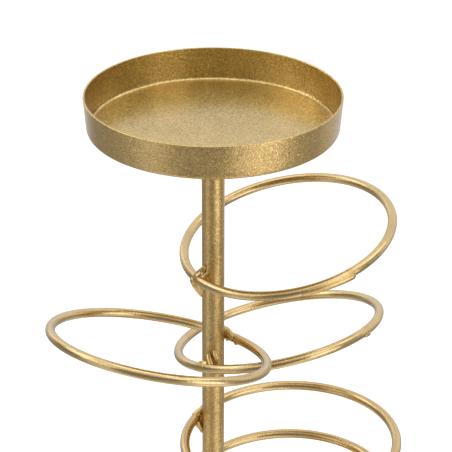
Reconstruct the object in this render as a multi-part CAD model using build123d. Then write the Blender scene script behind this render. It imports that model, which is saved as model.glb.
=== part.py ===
from build123d import *
import math
import os
from typing import NamedTuple

# Spiral candle holder, in millimetres and degrees.
# A dished pan for one pillar candle stands on a straight round stem. Wire rings go round the stem,
# each hung from one weld on its inner side, tilted and turned its own way. The stem stands on a
# round plate with a felt pad beneath. Origin: on the table under the stem, +Z up, the viewer at -Y.

# Whole object
overall_height = 250.0

# Candle pan, drawn from one sheet
pan_rim_diameter = 90.4
pan_flare = 1.05
pan_depth = 12.7
pan_sheet = 0.8
pan_inside_bend = 1.0
pan_rim_round_share = 0.36

# Stem, a plain round bar
stem_diameter = 8.2
stem_end_chamfer = 0.4

# Wire rings: the diameter is taken on the centre line of the wire
ring_diameter = 77.8
wire_diameter = 3.5
ring_root_gap = 0.15

# Butt seam that closes each ring, the bead as shares of the wire's diameter
seam_gap = 0.8
seam_length_share = 1.3
seam_width_share = 1.24
seam_sag_share = 0.1

# Weld bead between each ring and the stem, as shares of the wire's diameter
bead_width_share = 1.5
bead_height_share = 2.25

# Fillet welds at the two ends of the stem
pan_weld_leg = 2.0
base_weld_leg = 2.6

# Base plate and the felt under it
base_diameter = 110.0
base_thickness = 2.5
base_edge_round_share = 0.36
pad_inset = 6.0
pad_thickness = 1.2

FULL_TURN = 360.0
QUARTER_TURN = 90.0


class RingPlace(NamedTuple):
    """Where one ring hangs and where its weld metal lies, with angles in degrees."""

    height_share: float
    heading: float
    rise: float
    roll: float
    seam: float
    bead_turn: float
    bead_lift_share: float


# From the top down. The height is a share of the stem's length. Heading is where the ring's centre lies
# from the stem, counted from +X towards +Y. Rise lifts the far side of the ring, roll turns it about its
# heading, and seam is where the wire's two ends meet, counted round the ring from the weld. The weld bead
# sits a turn round the stem from where the wire touches it, lifted by a share of the wire's diameter.
RING_PLACES = [
    RingPlace(0.7498, heading=30.8, rise=12.9, roll=-1.1, seam=268.5, bead_turn=-12.0, bead_lift_share=-0.35),
    RingPlace(0.6364, heading=232.2, rise=17.3, roll=0.7, seam=10.0, bead_turn=-12.0, bead_lift_share=0.35),
    RingPlace(0.5958, heading=40.4, rise=2.0, roll=-16.8, seam=253.5, bead_turn=22.0, bead_lift_share=0.6),
    RingPlace(0.4916, heading=329.9, rise=1.2, roll=0.9, seam=204.0, bead_turn=18.0, bead_lift_share=0.1),
    RingPlace(0.3968, heading=326.3, rise=0.3, roll=3.9, seam=238.0, bead_turn=-8.0, bead_lift_share=0.2),
    RingPlace(0.2920, heading=200.0, rise=6.0, roll=4.0, seam=75.0, bead_turn=10.0, bead_lift_share=-0.2),
    RingPlace(0.1915, heading=112.0, rise=3.0, roll=-6.0, seam=118.0, bead_turn=-14.0, bead_lift_share=0.25),
    RingPlace(0.1060, heading=172.0, rise=1.0, roll=5.0, seam=296.0, bead_turn=6.0, bead_lift_share=-0.25),
]

# Sizes that follow from those above
stem_radius = stem_diameter / 2
ring_radius = ring_diameter / 2
wire_radius = wire_diameter / 2
stem_bottom = pad_thickness + base_thickness
stem_top = overall_height - pan_depth
stem_length = stem_top - stem_bottom


def disc(diameter, bottom, height):
    """Upright round bar or plate on the stem's axis, from its bottom upwards."""
    return Pos(0, 0, bottom + height / 2) * Cylinder(diameter / 2, height)


def edges_at(solid, height, radius):
    """The circular edges of a turned solid at one height and radius."""
    circles = solid.edges().filter_by(GeomType.CIRCLE)
    return circles.filter_by(
        lambda edge: math.isclose(edge.radius, radius, abs_tol=1e-6)
        and math.isclose(edge.arc_center.Z, height, abs_tol=1e-6)
    )


def candle_pan():
    """Shallow drawn pan: flat floor, rounded bend, wall that opens a little towards the rim."""
    floor = stem_top + pan_sheet
    rim_radius = pan_rim_diameter / 2
    bottom_radius = rim_radius - pan_flare
    slope = pan_flare / pan_depth
    wall_width = pan_sheet * math.hypot(1, slope)
    mouth_radius = rim_radius - wall_width
    floor_radius = bottom_radius + slope * pan_sheet - wall_width
    outline = Polyline(
        (0, 0, stem_top),
        (bottom_radius, 0, stem_top),
        (rim_radius, 0, overall_height),
        (mouth_radius, 0, overall_height),
        (floor_radius, 0, floor),
        (0, 0, floor),
        close=True,
    )
    pan = revolve(make_face(outline), Axis.Z)
    pan = fillet(edges_at(pan, stem_top, bottom_radius), pan_inside_bend + pan_sheet)
    pan = fillet(edges_at(pan, floor, floor_radius), pan_inside_bend)
    rim = edges_at(pan, overall_height, rim_radius) + edges_at(pan, overall_height, mouth_radius)
    return fillet(rim, pan_sheet * pan_rim_round_share)


def stem():
    """Plain bar between the base plate and the pan, its ends chamfered for the welds."""
    bar = disc(stem_diameter, stem_bottom, stem_length)
    ends = edges_at(bar, stem_bottom, stem_radius) + edges_at(bar, stem_top, stem_radius)
    return chamfer(ends, stem_end_chamfer)


def base_plate():
    """Round plate that the stem stands on, with both edges eased."""
    plate = disc(base_diameter, pad_thickness, base_thickness)
    radius = base_diameter / 2
    rims = edges_at(plate, pad_thickness, radius) + edges_at(plate, stem_bottom, radius)
    return fillet(rims, base_thickness * base_edge_round_share)


def felt_pad():
    """Felt disc under the base plate, which meets the table."""
    return disc(base_diameter - 2 * pad_inset, 0, pad_thickness)


def end_weld(seat, leg, upwards):
    """Hollow fillet weld round one end of the stem: it fills the chamfer and spreads over the seat."""
    foot = (stem_radius + leg, 0, seat)
    throat = (stem_radius, 0, seat + leg * upwards)
    root = Polyline(
        foot,
        (stem_radius - stem_end_chamfer, 0, seat),
        (stem_radius, 0, seat + stem_end_chamfer * upwards),
        throat,
    )
    hollow = TangentArc(throat, foot, tangent=(0, 0, -upwards))
    return revolve(make_face(root + hollow), Axis.Z)


def ring_plane(place):
    """Plane of one ring: origin at its centre, X towards the weld, Y along the wire there, Z down."""
    heading, rise, roll = (math.radians(angle) for angle in (place.heading, place.rise, place.roll))
    outwards = Vector(math.cos(heading), math.sin(heading), 0)
    sideways = Vector(-math.sin(heading), math.cos(heading), 0)
    along_wire = sideways * math.cos(roll) + Vector(0, 0, 1) * math.sin(roll)
    to_centre = outwards * math.cos(rise) + outwards.cross(along_wire) * math.sin(rise)
    on_wire = Vector(0, 0, weld_height(place)) - outwards * (stem_radius + ring_root_gap + wire_radius)
    centre = on_wire + to_centre * ring_radius
    return Plane(centre, x_dir=-to_centre, z_dir=along_wire.cross(to_centre))


def weld_height(place):
    """Height of a ring's weld above the table."""
    return stem_bottom + place.height_share * stem_length


def seam_location(place):
    """Location of one ring, turned so that its X axis runs through the seam."""
    return ring_plane(place).location * Rot(0, 0, place.seam)


def bent_wire():
    """One wire bent to a flat ring about the origin, open at its seam by the seam gap."""
    section = Plane.XZ * Pos(ring_radius, 0) * Circle(wire_radius)
    gap_angle = math.degrees(seam_gap / ring_radius)
    wire = revolve(section, Axis.Z, revolution_arc=FULL_TURN - gap_angle)
    return Rot(0, 0, gap_angle / 2) * wire


def egg(width, length):
    """Solid egg about the Z axis, of that width and length."""
    half = Ellipse(width / 2, length / 2) & Pos(width / 2, 0) * Rectangle(width, length)
    return revolve(Plane.XZ * half, Axis.Z)


def seam_bead(wire):
    """Bead that fills a bent wire's butt gap, stands a little proud of it and sags below it."""
    bead = egg(wire_diameter * seam_width_share, wire_diameter * seam_length_share)
    sag = wire_diameter * seam_sag_share
    return Pos(ring_radius, 0, sag) * Rot(QUARTER_TURN, 0, 0) * bead - wire


def ring_weld(place, ring, bar):
    """Weld bead that holds a ring on the stem: it fills the root gap and the corners beside the wire."""
    reach = stem_radius + ring_root_gap / 2
    height = weld_height(place) + wire_diameter * place.bead_lift_share
    at_gap = Rot(0, 0, place.heading + place.bead_turn) * Pos(-reach, 0, height)
    bead = egg(wire_diameter * bead_width_share, wire_diameter * bead_height_share)
    return at_gap * bead - bar - ring


def all_parts():
    """Every node's name with its solid."""
    bar = stem()
    parts = {
        "candle_pan": candle_pan(),
        "stem": bar,
        "base_plate": base_plate(),
        "felt_pad": felt_pad(),
        "pan_weld": end_weld(stem_top, pan_weld_leg, -1),
        "base_weld": end_weld(stem_bottom, base_weld_leg, 1),
    }
    wire = bent_wire()
    seam = seam_bead(wire)
    for number, place in enumerate(RING_PLACES, start=1):
        ring = seam_location(place) * wire
        parts[f"wire_ring_{number}"] = ring
        parts[f"ring_weld_{number}"] = ring_weld(place, ring, bar)
        parts[f"seam_weld_{number}"] = seam_location(place) * seam
    return parts


os.makedirs("parts", exist_ok=True)
for node, solid in all_parts().items():
    export_step(solid, f"parts/{node}.step")
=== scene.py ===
"""Looks and studio of a candle holder: a pan on a stem with welded wire rings.

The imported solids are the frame. Pan, stem, rings and base plate stay as they are and get their gold paint.
The smooth weld beads give way to uneven ones, and the felt under the base gets its nap. Lengths are metres,
angles are degrees, +Z is up, and the camera stands on the side of -Y.
"""

import logging
import math
from dataclasses import dataclass, field
from enum import Enum
from typing import Any, Protocol, Sequence, Union

import bmesh
import bpy
import numpy as np
from mathutils import Matrix, Vector

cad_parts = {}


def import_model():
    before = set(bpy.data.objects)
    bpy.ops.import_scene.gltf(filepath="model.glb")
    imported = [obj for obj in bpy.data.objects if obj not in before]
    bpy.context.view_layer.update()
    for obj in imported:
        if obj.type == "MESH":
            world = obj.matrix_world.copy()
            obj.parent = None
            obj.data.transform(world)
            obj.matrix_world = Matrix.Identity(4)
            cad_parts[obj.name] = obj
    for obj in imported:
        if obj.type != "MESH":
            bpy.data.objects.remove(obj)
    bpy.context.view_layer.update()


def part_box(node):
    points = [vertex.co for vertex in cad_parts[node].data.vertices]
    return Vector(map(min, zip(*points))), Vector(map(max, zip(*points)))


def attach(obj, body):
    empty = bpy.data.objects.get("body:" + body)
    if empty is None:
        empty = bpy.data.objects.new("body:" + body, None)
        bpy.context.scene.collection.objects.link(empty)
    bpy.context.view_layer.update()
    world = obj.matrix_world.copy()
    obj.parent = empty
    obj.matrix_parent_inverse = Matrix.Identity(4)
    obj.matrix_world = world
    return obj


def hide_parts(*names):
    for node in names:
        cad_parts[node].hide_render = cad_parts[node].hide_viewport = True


LOG = logging.getLogger("candle_holder")
BODY = "root"
RING_NUMBERS = range(1, 9)
PHOTO_SIDE = 452
MM = 0.001
UP = Vector((0, 0, 1))
WHITE = (1.0, 1.0, 1.0, 1.0)

# A camera at rest looks straight down, and this turn makes it look level
LEVEL_VIEW = 90.0

# Middle of the random values, which run from 0 to 1
MEAN = 0.5
MEAN_COLOUR = (MEAN, MEAN, MEAN)

# Factor that takes the height out of a place
FLATTEN = (1.0, 1.0, 0.0)

# Leaves a bevel's new faces the material of their neighbours
SAME_MATERIAL = -1

Colour = tuple[float, float, float, float]
Place = tuple[float, float, float]
Span = tuple[float, float]
Value = Union["Socket", float]


class Slot(Enum):
    """Names of two of the record's material slots: the weld paint and the felt."""

    WELD = "weld_paint"
    FELT = "felt"


class Ray(Enum):
    """Kinds of ray that a studio surface can tell apart."""

    CAMERA = "Is Camera Ray"
    GLOSSY = "Is Glossy Ray"
    TRANSMISSION = "Is Transmission Ray"


class Layers(Enum):
    """How a noise is layered: its number of finer layers, and how strong those are."""

    SOFT = (2.0, 0.5)
    GRAINY = (3.0, 0.6)
    FIBROUS = (4.0, 0.7)


@dataclass(frozen=True)
class Socket:
    """An output of a shader node. Arithmetic on it adds Math nodes to its tree."""

    shader: "Shader"
    output: bpy.types.NodeSocket

    def _math(self, operation: str, left: Value, right: Value) -> "Socket":
        """One Math node on two values."""
        return self.shader.node("ShaderNodeMath", {"operation": operation}, {0: left, 1: right})

    def __add__(self, other: Value) -> "Socket":
        """self + other."""
        return self._math("ADD", self, other)

    def __radd__(self, other: Value) -> "Socket":
        """other + self."""
        return self._math("ADD", other, self)

    def __sub__(self, other: Value) -> "Socket":
        """self - other."""
        return self._math("SUBTRACT", self, other)

    def __rsub__(self, other: Value) -> "Socket":
        """other - self."""
        return self._math("SUBTRACT", other, self)

    def __mul__(self, other: Value) -> "Socket":
        """self * other."""
        return self._math("MULTIPLY", self, other)

    def __rmul__(self, other: Value) -> "Socket":
        """other * self."""
        return self._math("MULTIPLY", other, self)

    def __truediv__(self, other: Value) -> "Socket":
        """self / other."""
        return self._math("DIVIDE", self, other)

    def __rtruediv__(self, other: Value) -> "Socket":
        """other / self."""
        return self._math("DIVIDE", other, self)


class Shader:
    """The node tree of a material or of the world, filled through one method."""

    def __init__(self, owner: bpy.types.ID) -> None:
        """Empties the owner's tree.

        Args:
            owner: A material or a world.
        """
        owner.use_nodes = True
        self.tree = owner.node_tree
        self.tree.nodes.clear()

    def node(
        self,
        kind: str,
        settings: dict[str, Any] | None = None,
        sockets: dict[str | int, Any] | None = None,
        output: str | int = 0,
    ) -> Socket | None:
        """Adds one node.

        Args:
            kind: The node's type name.
            settings: Its properties.
            sockets: Values or links of its inputs, by name or number.
            output: The output that is wanted.

        Returns:
            That output, or None from a node that has none.
        """
        made = self.tree.nodes.new(kind)
        for key, setting in (settings or {}).items():
            setattr(made, key, setting)
        for key, value in (sockets or {}).items():
            if isinstance(value, Socket):
                self.tree.links.new(value.output, made.inputs[key])
            else:
                made.inputs[key].default_value = value
        return Socket(self, made.outputs[output]) if made.outputs else None

    def object_place(self) -> Socket:
        """Object coordinates, in metres."""
        return self.node("ShaderNodeTexCoord", output="Object")

    def noise(self, place: Socket, size: float, layers: Layers) -> Socket:
        """Soft noise from 0 to 1.

        Args:
            place: The coordinates it lies on.
            size: Width of its largest spots.
            layers: How it is layered.

        Returns:
            The noise value.
        """
        detail, roughness = layers.value
        sockets = {"Vector": place, "Scale": 1 / size, "Detail": detail, "Roughness": roughness}
        return self.node("ShaderNodeTexNoise", sockets=sockets)

    def cells(self, place: Socket, size: float, output: str) -> Socket:
        """Random cells.

        Args:
            place: The coordinates they lie on.
            size: Width of a cell.
            output: Color for a random colour per cell, Distance for how far its middle is.

        Returns:
            That output.
        """
        sockets = {"Vector": place, "Scale": 1 / size}
        return self.node("ShaderNodeTexVoronoi", sockets=sockets, output=output)

    def ramp(self, value: Socket, low: float, high: float) -> Socket:
        """Stretches low to high over 0 to 1, cut off at both ends. It falls where low is above high."""
        return self.node("ShaderNodeMapRange", sockets={0: value, 1: low, 2: high})

    def mix(self, share: Value, first: Any, second: Any) -> Socket:
        """A colour between two, by a share from 0, the first, to 1, the second."""
        return self.node("ShaderNodeMix", {"data_type": "RGBA"}, {0: share, 6: first, 7: second}, output=2)

    def vector(self, operation: str, sockets: dict[str | int, Any], output: str | int = 0) -> Socket:
        """One Vector Math node."""
        return self.node("ShaderNodeVectorMath", {"operation": operation}, sockets, output)

    def dot(self, place: Socket, way: Place) -> Socket:
        """How far a place lies in one direction."""
        return self.vector("DOT_PRODUCT", {0: place, 1: way}, "Value")

    def length(self, place: Socket) -> Socket:
        """How far a place lies from the origin."""
        return self.vector("LENGTH", {0: place}, "Value")

    def ray(self, kind: Ray) -> Socket:
        """1 for that kind of ray and 0 for the others."""
        return self.node("ShaderNodeLightPath", output=kind.value)


@dataclass(frozen=True)
class GoldPaint:
    """Satin gold paint full of fine metal flake.

    A share says how much of the way from the deep to the light gold its cause moves the colour, or how many
    flakes glint, or how much of their gap the specks fill.
    """

    name: str
    light: Colour = (0.875, 0.6, 0.22, 1.0)
    deep: Colour = (0.36, 0.225, 0.057, 1.0)
    speck: Colour = (0.2, 0.12, 0.04, 1.0)
    graze: Colour = (0.75, 0.65, 0.5, 1.0)
    roughness: float = 0.32
    roughness_spread: float = 0.1
    coat: float = 1.0
    coat_roughness: float = 0.2
    coat_ior: float = 1.58
    flake: float = 0.34 * MM
    flake_tilt: float = 0.19
    glint_tilt: float = 0.33
    glint_share: float = 0.25
    grain: float = 0.7 * MM
    relief: float = 0.04 * MM
    mottle: float = 11.0 * MM
    mottle_range: Span = (0.3, 0.7)
    mottle_share: float = 0.2
    flake_share: float = 0.75
    grain_share: float = 0.25
    speck_gap: float = 14.0 * MM
    speck_share: float = 0.02
    speck_fade: float = 2.0

    def material(self) -> bpy.types.Material:
        """Makes the paint.

        Returns:
            The material.
        """
        made = bpy.data.materials.new(self.name)
        shader = Shader(made)
        place = shader.object_place()
        flakes = shader.cells(place, self.flake, "Color")
        chance = shader.node("ShaderNodeTexWhiteNoise", sockets={"Vector": flakes})
        grain = shader.noise(place, self.grain, Layers.GRAINY)
        roughness = self.roughness + (grain - MEAN) * self.roughness_spread
        surface = shader.node(
            "ShaderNodeBsdfPrincipled",
            sockets={
                "Base Color": self._colour(shader, place, chance, grain),
                "Metallic": 1.0,
                "Roughness": roughness,
                "Specular Tint": self.graze,
                "Coat Weight": self.coat,
                "Coat Roughness": self.coat_roughness,
                "Coat IOR": self.coat_ior,
                "Normal": self._normal(shader, flakes, chance, grain),
            },
        )
        shader.node("ShaderNodeOutputMaterial", sockets={"Surface": surface})
        return made

    def _colour(self, shader: Shader, place: Socket, chance: Socket, grain: Socket) -> Socket:
        """Lighter and deeper gold from flake to flake, in clouds, with a few dark specks.

        Args:
            shader: The paint's tree.
            place: Object coordinates.
            chance: A random value for each flake.
            grain: The paint's grain, from 0 to 1.

        Returns:
            The base colour.
        """
        cloud = shader.ramp(shader.noise(place, self.mottle, Layers.SOFT), *self.mottle_range)
        sway = (cloud - MEAN) * self.mottle_share
        sway += (chance - MEAN) * self.flake_share
        sway += (grain - MEAN) * self.grain_share
        gold = shader.mix(sway + MEAN, *self._tints(shader, place))
        off_speck = shader.cells(place, self.speck_gap, "Distance")
        clear = shader.ramp(off_speck, self.speck_share, self.speck_fade * self.speck_share)
        return shader.mix(1.0 - clear, gold, self.speck)

    def _tints(self, shader: Shader, place: Socket) -> tuple[Colour | Socket, Colour | Socket]:
        """The deeper and the lighter gold, which are the same all over."""
        return self.deep, self.light

    def _normal(self, shader: Shader, flakes: Socket, chance: Socket, grain: Socket) -> Socket:
        """Tilts every flake its own way and lays the paint's grain over them.

        Args:
            shader: The paint's tree.
            flakes: A random colour for each flake.
            chance: A random value for each flake.
            grain: The paint's grain, from 0 to 1.

        Returns:
            The surface normal.
        """
        straight = shader.node("ShaderNodeNewGeometry", output="Normal")
        lean = shader.vector("SUBTRACT", {0: flakes, 1: MEAN_COLOUR})
        glint = shader.ramp(chance, 1 - self.glint_share, 1.0)
        tilt = self.flake_tilt + glint * (self.glint_tilt - self.flake_tilt)
        lean = shader.vector("SCALE", {0: lean, "Scale": tilt})
        tilted = shader.vector("NORMALIZE", {0: shader.vector("ADD", {0: straight, 1: lean})})
        sockets = {"Strength": 1.0, "Distance": self.relief, "Height": grain, "Normal": tilted}
        return shader.node("ShaderNodeBump", sockets=sockets)


@dataclass(frozen=True)
class PanPaint(GoldPaint):
    """Gold paint of the candle pan, with painted shade inside the pan: a slightly darker, greener gold on
    its inner wall and floor.
    """

    # Painted shade: the darker, greener gold inside the pan
    shaded_inner_light: Colour = (0.85, 0.622, 0.226, 1.0)
    shaded_inner_deep: Colour = (0.345, 0.234, 0.059, 1.0)
    floor_height: float = 237.7 * MM
    wall_radius: float = 43.75 * MM
    wall_slope: float = 1.05 / 12.7
    change: float = 0.2 * MM

    def _tints(self, shader: Shader, place: Socket) -> tuple[Colour | Socket, Colour | Socket]:
        """The deeper and the lighter gold, outside, and with painted shade inside.

        Args:
            shader: The paint's tree.
            place: Object coordinates.

        Returns:
            The two colours.
        """
        height = shader.dot(place, tuple(UP)) - self.floor_height
        radius = shader.length(shader.vector("MULTIPLY", {0: place, 1: FLATTEN}))
        from_wall = self.wall_radius + height * self.wall_slope - radius
        within = shader.ramp(from_wall, -self.change, self.change)
        # Painted shade: inside the pan the gold turns a little darker and greener
        inside = shader.ramp(height, -self.change, self.change) * within
        deep = shader.mix(inside, self.deep, self.shaded_inner_deep)
        light = shader.mix(inside, self.light, self.shaded_inner_light)
        return deep, light


# Painted highlight: the wire's lighter gold is paler than the other paints' and stands in for the whitening
# of the wires' bright highlights
WIRE_PAINT = GoldPaint(
    "gold_on_wire_paled_for_highlights",
    light=(0.88, 0.64, 0.27, 1.0),
    roughness=0.25,
    coat_roughness=0.1,
    coat_ior=1.8,
    flake_tilt=0.05,
    glint_tilt=0.15,
    relief=0.02 * MM,
    flake_share=0.3,
    speck_share=0.001,
)
WELD_PAINT = GoldPaint("gold_over_weld", flake_tilt=0.08, glint_tilt=0.2, relief=0.03 * MM, flake_share=0.3)
BASE_PAINT = GoldPaint("gold_on_base", graze=(0.55, 0.42, 0.24, 1.0), roughness=0.45, coat=0.3)


@dataclass(frozen=True)
class FeltNap:
    """Dark pressed felt with short fibres."""

    name: str = "felt_nap"
    dark: Colour = (0.022, 0.02, 0.019, 1.0)
    pale: Colour = (0.075, 0.07, 0.066, 1.0)
    fibre: float = 0.3 * MM
    tuft: float = 2.4 * MM
    relief: float = 0.25 * MM
    fibre_share: float = 0.6
    nap_range: Span = (0.3, 0.7)
    roughness: float = 0.95
    sheen: float = 0.3

    def material(self) -> bpy.types.Material:
        """Makes the felt.

        Returns:
            The material.
        """
        made = bpy.data.materials.new(self.name)
        shader = Shader(made)
        place = shader.object_place()
        fibre = shader.noise(place, self.fibre, Layers.FIBROUS)
        tuft = shader.noise(place, self.tuft, Layers.SOFT)
        nap = shader.ramp(fibre * self.fibre_share + tuft * (1 - self.fibre_share), *self.nap_range)
        surface = shader.node(
            "ShaderNodeBsdfPrincipled",
            sockets={
                "Base Color": shader.mix(nap, self.dark, self.pale),
                "Roughness": self.roughness,
                "Sheen Weight": self.sheen,
                "Normal": shader.node("ShaderNodeBump", sockets={"Distance": self.relief, "Height": fibre}),
            },
        )
        shader.node("ShaderNodeOutputMaterial", sockets={"Surface": surface})
        return made


class Bench:
    """Turns bmeshes into pieces of the object and dresses its solids."""

    @staticmethod
    def piece(name: str, mesh: bmesh.types.BMesh, material: bpy.types.Material) -> bpy.types.Object:
        """Makes a smooth-shaded object of a bmesh, at the origin.

        Args:
            name: The piece's name.
            mesh: Its shape, in place. It is freed.
            material: Its finish.

        Returns:
            The object.
        """
        data = bpy.data.meshes.new(name)
        bmesh.ops.recalc_face_normals(mesh, faces=mesh.faces)
        mesh.to_mesh(data)
        mesh.free()
        data.shade_smooth()
        data.materials.append(material)
        made = bpy.data.objects.new(name, data)
        bpy.context.scene.collection.objects.link(made)
        return made

    @staticmethod
    def join(made: bpy.types.Object, slot: Slot, node: str) -> None:
        """Lets a piece ride on the body and stand for a solid.

        Args:
            made: The piece.
            slot: The record's material slot. Not used.
            node: The solid that it stands for.
        """
        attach(made, BODY)
        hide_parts(node)
        LOG.info("%s made, in place of %s", made.name, node)

    @staticmethod
    def dress(node: str, material: bpy.types.Material) -> None:
        """Gives a solid its finish.

        Args:
            node: The solid's name.
            material: The finish.
        """
        data = bpy.data.objects[node].data
        data.materials.clear()
        data.materials.append(material)
        LOG.info("%s dressed in %s", node, material.name)


def middle(node: str) -> Vector:
    """Middle of a solid's box."""
    low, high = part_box(node)
    return (low + high) / 2


@dataclass(frozen=True)
class Drop:
    """One drop of weld metal, all of it counted in wire diameters.

    Along goes round what carries it, against the clock seen from above. Out leads away from the stem's face
    or, on a ring, from the wire's centre line outwards. Up is up.
    """

    along: float
    out: float
    up: float
    radius: float


Trail = tuple[Drop, ...]


class Seat(Protocol):
    """What carries weld metal."""

    def spot(self, along: float, out: float, up: float) -> Vector:
        """Point at that place on the carrier.

        Args:
            along: Way round the carrier.
            out: Way out from it.
            up: Way up.

        Returns:
            The point, in metres.
        """


@dataclass
class WeldMetal:
    """Weld metal that ran into one lump and set with an uneven skin."""

    name: str
    wire: float
    runs: Sequence[tuple[Seat, Trail]]
    skin: float = 0.15 * MM
    settling: int = 8
    settling_pull: float = 0.5
    drop_detail: int = 3
    drops_per_radius: float = 4.0

    def build(self, material: bpy.types.Material) -> bpy.types.Object:
        """Lays the drops and melts them together.

        Args:
            material: The finish.

        Returns:
            The piece.
        """
        mesh = bmesh.new()
        for seat, trail in self.runs:
            for drop in self._between(trail):
                spot = seat.spot(drop.along * self.wire, drop.out * self.wire, drop.up * self.wire)
                bmesh.ops.create_icosphere(
                    mesh,
                    subdivisions=self.drop_detail,
                    radius=drop.radius * self.wire,
                    matrix=Matrix.Translation(spot),
                )
        made = Bench.piece(self.name, mesh, material)
        melt = made.modifiers.new("melt", "REMESH")
        melt.mode = "VOXEL"
        melt.voxel_size = self.skin
        melt.use_smooth_shade = True
        settle = made.modifiers.new("settle", "SMOOTH")
        settle.factor = self.settling_pull
        settle.iterations = self.settling
        return made

    def _between(self, trail: Trail) -> list[Drop]:
        """Drops all along a trail, from its first to its last.

        Args:
            trail: The drops that it runs through.

        Returns:
            Those drops and enough between them to make one body.
        """
        drops = [trail[0]]
        for start, end in zip(trail, trail[1:]):
            way = math.dist((start.along, start.out, start.up), (end.along, end.out, end.up))
            steps = max(1, math.ceil(way / min(start.radius, end.radius) * self.drops_per_radius))
            first, last = (np.array((d.along, d.out, d.up, d.radius)) for d in (start, end))
            drops += [Drop(*(first + (last - first) * step / steps)) for step in range(1, steps + 1)]
        return drops


@dataclass
class StemFace:
    """The stem's face round one weld."""

    radius: float
    heading: float
    height: float

    def spot(self, along: float, out: float, up: float) -> Vector:
        """Point that far round the stem from the weld, off its face and above the weld.

        Args:
            along: Way round the carrier.
            out: Way out from it.
            up: Way up.

        Returns:
            The point, in metres.
        """
        angle = self.heading + along / self.radius
        reach = self.radius + out
        return Vector((reach * math.cos(angle), reach * math.sin(angle), self.height + up))


@dataclass
class WireLine:
    """The wire of one ring, from one place on it."""

    centre: Vector
    normal: Vector
    start: Vector

    def spot(self, along: float, out: float, up: float) -> Vector:
        """Point that far along the wire from the start, outwards and up from its centre line."""
        arm = Matrix.Rotation(along / self.start.length, 3, self.normal) @ self.start
        return self.centre + arm * (1 + out / self.start.length) + self.normal * up


@dataclass
class Ring:
    """One wire ring as the frame holds it."""

    number: int
    centre: Vector = field(init=False)
    normal: Vector = field(init=False)
    wire: float = field(init=False)
    radius: float = field(init=False)

    def __post_init__(self) -> None:
        """Reads the ring's centre, plane and wire from its solid."""
        node = f"wire_ring_{self.number}"
        points = np.array([vertex.co for vertex in bpy.data.objects[node].data.vertices])
        self.centre = middle(node)
        arms = points - np.array(self.centre)
        _, axes = np.linalg.eigh(arms.T @ arms)
        self.normal = Vector(axes[:, 0])
        if self.normal.z < 0:
            self.normal.negate()
        reach = np.linalg.norm(arms, axis=1)
        self.wire = reach.max() - reach.min()
        self.radius = (reach.max() + reach.min()) / 2

    def _arm(self, target: Vector) -> Vector:
        """From the ring's centre to the place on its wire that is nearest to a target's direction."""
        way = target - self.centre
        return (way - self.normal * way.dot(self.normal)).normalized() * self.radius

    def at_stem(self) -> WireLine:
        """The wire where it touches the stem."""
        return WireLine(self.centre, self.normal, self._arm(UP * self.centre.z))

    def stem_face(self) -> StemFace:
        """Finds where this ring touches the stem.

        Returns:
            The stem's face there.
        """
        low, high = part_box("stem")
        touch = self.at_stem().spot(0, 0, 0)
        return StemFace((high.x - low.x) / 2, math.atan2(-self.centre.y, -self.centre.x), touch.z)

    def seam(self) -> WireLine:
        """The wire where its two ends meet."""
        return WireLine(self.centre, self.normal, self._arm(middle(f"seam_weld_{self.number}")))


# Metal in the root between a wire and the stem
ROOT = (Drop(-0.35, 0.25, 0.0, 0.4), Drop(0.3, 0.25, 0.0, 0.38))

# Metal that wraps a wire where it touches the stem
COLLAR = (
    Drop(-1.1, 0.0, 0.0, 0.46),
    Drop(-0.6, 0.0, 0.0, 0.51),
    Drop(0.6, 0.0, 0.0, 0.51),
    Drop(1.1, 0.0, 0.0, 0.46),
)

# Metal round the place where a wire's two ends meet
CLOSED_SEAM = (
    Drop(-0.5, 0.0, 0.0, 0.48),
    Drop(-0.2, 0.0, 0.0, 0.52),
    Drop(0.2, 0.0, 0.0, 0.52),
    Drop(0.5, 0.0, 0.0, 0.48),
)

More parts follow.
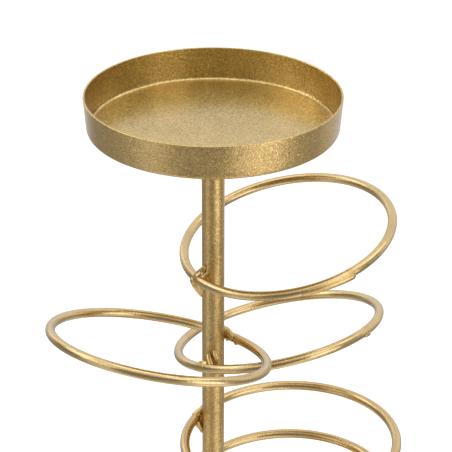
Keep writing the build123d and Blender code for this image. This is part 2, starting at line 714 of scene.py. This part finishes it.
# Runs of metal on the stem's face, by ring
STEM_WELDS: dict[int, tuple[Trail, ...]] = {
    1: (
        ROOT,
        (Drop(-0.25, 0.6, 0.35, 0.34), Drop(-0.12, 0.42, 0.8, 0.28), Drop(0.24, 0.14, 1.5, 0.19)),
        (Drop(-0.2, 0.2, 0.45, 0.36), Drop(0.1, 0.12, 0.95, 0.3), Drop(0.28, 0.06, 1.45, 0.18)),
        (Drop(0.0, 0.62, 0.42, 0.36), Drop(0.1, 0.4, 0.75, 0.28)),
        (Drop(0.34, 0.38, 0.4, 0.22), Drop(0.52, 0.26, 0.75, 0.17), Drop(0.68, 0.1, 1.05, 0.14)),
        (
            Drop(-0.35, 0.8, -0.25, 0.5),
            Drop(-0.5, 0.64, -0.8, 0.46),
            Drop(-0.5, 0.38, -1.4, 0.38),
            Drop(-0.42, 0.05, -2.05, 0.25),
        ),
        (Drop(-0.15, 0.35, -0.5, 0.45), Drop(-0.25, 0.15, -1.2, 0.4), Drop(-0.3, 0.02, -1.8, 0.28)),
        (Drop(0.29, 0.32, -0.9, 0.24),),
    ),
    2: (
        (Drop(-0.15, 0.25, 0.0, 0.4), Drop(0.4, 0.25, 0.0, 0.38)),
        (
            Drop(-0.3, 0.25, 0.55, 0.42),
            Drop(-0.62, 0.32, 0.8, 0.44),
            Drop(-0.88, 0.55, 0.62, 0.38),
            Drop(-1.05, 0.78, 0.36, 0.3),
        ),
        (Drop(-0.45, 0.12, 0.8, 0.34), Drop(-0.58, 0.08, 1.15, 0.28)),
        (Drop(0.5, 0.35, -0.5, 0.5), Drop(0.5, 0.1, -1.3, 0.3)),
    ),
    3: (
        ROOT,
        (Drop(0.5, 0.03, 2.25, 0.12), Drop(0.55, 0.02, 1.6, 0.2)),
        (
            Drop(0.55, 0.05, 1.35, 0.32),
            Drop(0.7, 0.4, 1.1, 0.36),
            Drop(0.84, 0.76, 0.76, 0.38),
            Drop(0.84, 0.7, 0.4, 0.38),
        ),
        (
            Drop(1.1, 0.0, 1.9, 0.2),
            Drop(1.2, 0.3, 1.55, 0.3),
            Drop(1.3, 0.6, 1.25, 0.3),
            Drop(1.3, 0.6, 0.8, 0.3),
        ),
        (Drop(0.2, 0.3, 0.4, 0.42), Drop(0.75, 0.4, 0.5, 0.42), Drop(1.2, 0.7, 0.4, 0.38)),
        (Drop(0.6, 0.6, 0.25, 0.42), Drop(0.9, 0.9, 0.2, 0.42), Drop(1.15, 1.15, 0.16, 0.4)),
    ),
    4: (
        ROOT,
        (
            Drop(0.45, 0.72, 0.22, 0.42),
            Drop(0.3, 0.42, 0.5, 0.4),
            Drop(0.08, 0.12, 0.85, 0.32),
            Drop(0.02, 0.03, 1.2, 0.2),
        ),
        (
            Drop(0.5, 0.75, -0.15, 0.42),
            Drop(0.6, 0.48, -0.65, 0.4),
            Drop(0.64, 0.2, -1.15, 0.3),
            Drop(0.64, 0.03, -1.65, 0.18),
        ),
        (Drop(0.3, 0.3, -0.3, 0.42), Drop(0.35, 0.15, -0.8, 0.36), Drop(0.4, 0.05, -1.3, 0.25)),
    ),
    5: (
        ROOT,
        (Drop(-0.2, 0.5, 0.55, 0.48), Drop(-0.3, 0.15, 1.4, 0.3)),
        (Drop(0.35, 0.6, -0.4, 0.45), Drop(0.4, 0.1, -1.2, 0.3)),
    ),
    6: (
        ROOT,
        (Drop(0.3, 0.6, 0.5, 0.45), Drop(0.1, 0.2, 1.2, 0.34)),
        (Drop(-0.4, 0.6, -0.4, 0.5), Drop(-0.5, 0.15, -1.4, 0.34)),
        (Drop(0.5, 0.3, -0.8, 0.26),),
    ),
    7: (
        ROOT,
        (Drop(-0.4, 0.55, 0.55, 0.46), Drop(-0.6, 0.1, 1.5, 0.26)),
        (Drop(0.5, 0.15, 1.2, 0.25), Drop(0.4, 0.5, 0.5, 0.4)),
        (Drop(0.0, 0.45, -0.6, 0.5), Drop(0.1, 0.1, -1.3, 0.3)),
    ),
    8: (
        ROOT,
        (Drop(0.0, 0.5, 0.6, 0.5), Drop(0.3, 0.12, 1.5, 0.28)),
        (Drop(-0.2, 0.7, -0.4, 0.5), Drop(-0.3, 0.2, -1.2, 0.4)),
    ),
}

# Metal that ran out at a seam, by ring
SEAM_NUBS: dict[int, Trail] = {
    1: (
        Drop(-5.2, 0.08, -0.05, 0.46),
        Drop(-2.6, 0.15, -0.1, 0.48),
        Drop(-0.5, 0.22, -0.16, 0.47),
        Drop(0.05, 0.26, -0.2, 0.42),
    ),
    2: (Drop(-0.15, -0.15, -0.42, 0.22),),
    3: (Drop(-0.5, 0.2, -0.25, 0.33), Drop(-0.1, 0.26, -0.26, 0.3)),
}

# Drops that spattered onto the wire beside a stem weld, by ring
SPATTER: dict[int, Trail] = {
    2: (Drop(-0.75, -0.15, -0.45, 0.16),),
    3: (Drop(6.2, 0.2, -0.4, 0.15),),
}


@dataclass
class Stand:
    """The candle pan on its stem, with the welds at the stem's two ends."""

    pan_paint: bpy.types.Material
    stem_paint: bpy.types.Material
    weld_paint: bpy.types.Material

    def build(self) -> None:
        """Dresses the pan, the stem and their welds."""
        Bench.dress("candle_pan", self.pan_paint)
        Bench.dress("stem", self.stem_paint)
        for node in ("pan_weld", "base_weld"):
            Bench.dress(node, self.weld_paint)


@dataclass
class WireRings:
    """The rings with their welds on the stem and their seams."""

    paint: bpy.types.Material
    weld_paint: bpy.types.Material

    def build(self) -> None:
        """Dresses the rings and makes the weld metal on them."""
        for number in RING_NUMBERS:
            Bench.dress(f"wire_ring_{number}", self.paint)
            ring = Ring(number)
            self._weld_on(ring)
            self._close(ring)

    def _weld_on(self, ring: Ring) -> None:
        """Weld between one ring and the stem, with what spattered from it onto the wire.

        Args:
            ring: The ring.
        """
        face, line = ring.stem_face(), ring.at_stem()
        runs = [(face, trail) for trail in STEM_WELDS[ring.number]] + [(line, COLLAR)]
        if ring.number in SPATTER:
            runs.append((line, SPATTER[ring.number]))
        metal = WeldMetal(f"stem_weld_{ring.number}", ring.wire, runs)
        Bench.join(metal.build(self.weld_paint), Slot.WELD, f"ring_weld_{ring.number}")

    def _close(self, ring: Ring) -> None:
        """Seam where a ring's wire ends meet, with a nub where the metal ran out.

        Args:
            ring: The ring.
        """
        runs = [(ring.seam(), CLOSED_SEAM)]
        if ring.number in SEAM_NUBS:
            runs.append((ring.seam(), SEAM_NUBS[ring.number]))
        metal = WeldMetal(f"ring_seam_{ring.number}", ring.wire, runs)
        Bench.join(metal.build(self.weld_paint), Slot.WELD, f"seam_weld_{ring.number}")


@dataclass
class Base:
    """The plate that the stem stands on, with its felt."""

    paint: bpy.types.Material
    felt: bpy.types.Material
    edge: float = 0.35 * MM
    edge_steps: int = 3
    edge_round: float = 0.5
    sides: int = 128
    sharp: float = 45.0

    def build(self) -> None:
        """Dresses the plate and lays the felt under it."""
        Bench.dress("base_plate", self.paint)
        low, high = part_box("felt_pad")
        radius = (high.x - low.x) / 2
        mesh = bmesh.new()
        bmesh.ops.create_cone(
            mesh,
            cap_ends=True,
            segments=self.sides,
            radius1=radius,
            radius2=radius,
            depth=high.z - low.z,
            matrix=Matrix.Translation((low + high) / 2),
        )
        rims = [edge for edge in mesh.edges if edge.calc_face_angle() > math.radians(self.sharp)]
        bmesh.ops.bevel(
            mesh,
            geom=rims,
            offset=self.edge,
            affect="EDGES",
            segments=self.edge_steps,
            profile=self.edge_round,
            material=SAME_MATERIAL,
        )
        disc = Bench.piece("felt_disc", mesh, self.felt)
        Bench.join(disc, Slot.FELT, "felt_pad")


@dataclass(frozen=True)
class Softbox:
    """A flat lamp that faces the holder. A glow of 1 is as bright as white paper."""

    name: str
    place: Place
    width: float
    height: float
    glow: float

    def build(self, aim: Vector) -> None:
        """Hangs the lamp.

        Args:
            aim: The point that it faces.
        """
        data = bpy.data.lights.new(self.name, "AREA")
        data.shape = "RECTANGLE"
        data.size = self.width
        data.size_y = self.height
        data.energy = self.glow * math.pi * self.width * self.height
        lamp = bpy.data.objects.new(self.name, data)
        lamp.location = self.place
        lamp.rotation_euler = (aim - lamp.location).to_track_quat("-Z", "Y").to_euler()
        lamp.visible_camera = False
        bpy.context.scene.collection.objects.link(lamp)


@dataclass(frozen=True)
class PaintedLightPool:
    """A painted pool of light on a sector of the floor: a glow that only mirroring surfaces see, with no
    lamp behind it.

    The edge is where the pool begins and where it is full, as the cosine of the angle from its way.
    """

    way: Place
    edge: Span
    lift: float


@dataclass(frozen=True)
class Studio:
    """Camera, pale floor, lamps and surroundings.

    A lift is light that the floor adds where the camera or a mirroring surface looks at it. What only
    mirroring surfaces see round the holder's foot and in two sectors is painted light. Each pair of values
    is where a change begins and where it is full.
    """

    camera_place: Place = (0.0, -0.6229, 0.5065)
    camera_pitch: float = 26.27
    focal_pixels: float = 1943.1
    stem_pixel: float = 213.17
    sensor: float = 36.0
    floor_radius: float = 6.0
    floor_sides: int = 96
    floor_colour: Colour = (0.33, 0.33, 0.33, 1.0)
    floor_lift: float = 0.92
    # Painted light: a glow on the floor round the holder's foot, which only mirroring surfaces see
    near_painted_glow: float = 0.5
    near_floor: Span = (0.21, 0.1)
    far_lift: float = 0.4
    far_floor: Span = (0.2, 0.45)
    room: float = 0.215
    backdrop: float = 1.0
    backdrop_way: Place = (0.3, 0.95, 0.0)
    backdrop_edge: Span = (0.3, 0.65)
    ceiling_edge: Span = (0.4, 0.85)
    aim_height: float = 0.2
    # Painted light: glowing sectors of floor, which only mirroring surfaces see
    pools: tuple[PaintedLightPool, ...] = (
        PaintedLightPool((0.643, -0.766, 0.0), (0.86, 0.985), 0.6),
        PaintedLightPool((-0.829, -0.559, 0.0), (0.935, 0.99), 0.42),
    )
    lamps: tuple[Softbox, ...] = (
        Softbox("right_box", (0.46, -0.415, 0.21), 0.38, 0.42, 1.65),
        Softbox("left_box", (-0.537, -0.31, 0.46), 0.45, 0.5, 0.75),
        Softbox("left_side", (-0.85, 0.05, 0.66), 0.7, 0.4, 1.2),
        Softbox("right_side", (0.62, 0.1, 0.95), 0.45, 0.35, 1.2),
        Softbox("right_low", (0.75, 0.0, 0.35), 0.6, 0.4, 0.25),
        Softbox("left_back", (-0.6, 0.6, 0.55), 0.5, 0.6, 0.5),
        Softbox("right_top", (0.42, -0.42, 0.75), 0.4, 0.3, 1.2),
        Softbox("left_top", (-0.63, 0.2, 0.85), 0.35, 0.35, 1.6),
        Softbox("top_box", (0.0, 0.0, 0.95), 0.6, 0.6, 0.75),
    )

    def build(self) -> None:
        """Sets up the studio."""
        scene = bpy.context.scene
        scene.view_settings.view_transform = "Standard"
        self._camera(scene)
        self._floor()
        self._surroundings(scene)
        for lamp in self.lamps:
            lamp.build(UP * self.aim_height)

    def _camera(self, scene: bpy.types.Scene) -> None:
        """Camera at the photo's place, with its field of view.

        Args:
            scene: The scene that it goes into.
        """
        data = bpy.data.cameras.new("camera")
        data.sensor_width = self.sensor
        data.lens = self.focal_pixels / PHOTO_SIDE * self.sensor
        data.shift_x = (PHOTO_SIDE / 2 - self.stem_pixel) / PHOTO_SIDE
        camera = bpy.data.objects.new("camera", data)
        camera.location = self.camera_place
        camera.rotation_euler = (math.radians(LEVEL_VIEW - self.camera_pitch), 0, 0)
        scene.collection.objects.link(camera)
        scene.camera = camera

    def _floor(self) -> None:
        """Pale floor that shows white and keeps the holder's shadow, with painted light that only mirroring
        surfaces see: a glow round the holder's foot and in two sectors.
        """
        made = bpy.data.materials.new("pale_floor")
        shader = Shader(made)
        place = shader.object_place()
        distance = shader.length(place)
        # Painted light for mirroring rays: the glow round the foot and in the sectors, beside the far
        # floor's backdrop glow
        near = shader.ramp(distance, *self.near_floor)
        far = shader.ramp(shader.dot(place, self.backdrop_way), *self.far_floor)
        shown = near * self.near_painted_glow + far * self.far_lift
        for pool in self.pools:
            shown += shader.ramp(shader.dot(place, pool.way) / distance, *pool.edge) * pool.lift
        mirrored = shader.ray(Ray.GLOSSY) + shader.ray(Ray.TRANSMISSION)
        shown = mirrored * shown
        strength = shader.ray(Ray.CAMERA) * self.floor_lift + shown
        matt = shader.node("ShaderNodeBsdfDiffuse", sockets={"Color": self.floor_colour})
        lift = shader.node("ShaderNodeEmission", sockets={"Color": WHITE, "Strength": strength})
        both = shader.node("ShaderNodeAddShader", sockets={0: matt, 1: lift})
        shader.node("ShaderNodeOutputMaterial", sockets={"Surface": both})
        mesh = bmesh.new()
        bmesh.ops.create_circle(mesh, cap_ends=True, segments=self.floor_sides, radius=self.floor_radius)
        Bench.piece("floor", mesh, made)

    def _surroundings(self, scene: bpy.types.Scene) -> None:
        """White backdrop behind the holder and pale ceiling above it, and the dimmer room round the camera.

        Args:
            scene: The scene that they surround.
        """
        scene.world = bpy.data.worlds.new("surroundings")
        shader = Shader(scene.world)
        direction = shader.node("ShaderNodeTexCoord", output="Generated")
        depth = shader.dot(direction, self.backdrop_way)
        height = shader.dot(direction, tuple(UP))
        pale = shader.ramp(depth, *self.backdrop_edge) + shader.ramp(height, *self.ceiling_edge)
        light = self.room + (self.backdrop - self.room) * shader.ramp(pale, 0.0, 1.0)
        camera = shader.ray(Ray.CAMERA)
        strength = camera + (1 - camera) * light
        sky = shader.node("ShaderNodeBackground", sockets={"Color": WHITE, "Strength": strength})
        shader.node("ShaderNodeOutputWorld", sockets={"Surface": sky})


def main() -> None:
    """Builds the holder's looks and its studio."""
    logging.basicConfig(level=logging.INFO, format="%(name)s: %(message)s")
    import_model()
    stem_paint = GoldPaint("gold_paint").material()
    wire_paint = WIRE_PAINT.material()
    weld_paint = WELD_PAINT.material()
    Stand(PanPaint("gold_on_pan_shaded_inside").material(), stem_paint, weld_paint).build()
    WireRings(wire_paint, weld_paint).build()
    Base(BASE_PAINT.material(), FeltNap().material()).build()
    Studio().build()


if __name__ == "__main__":
    main()
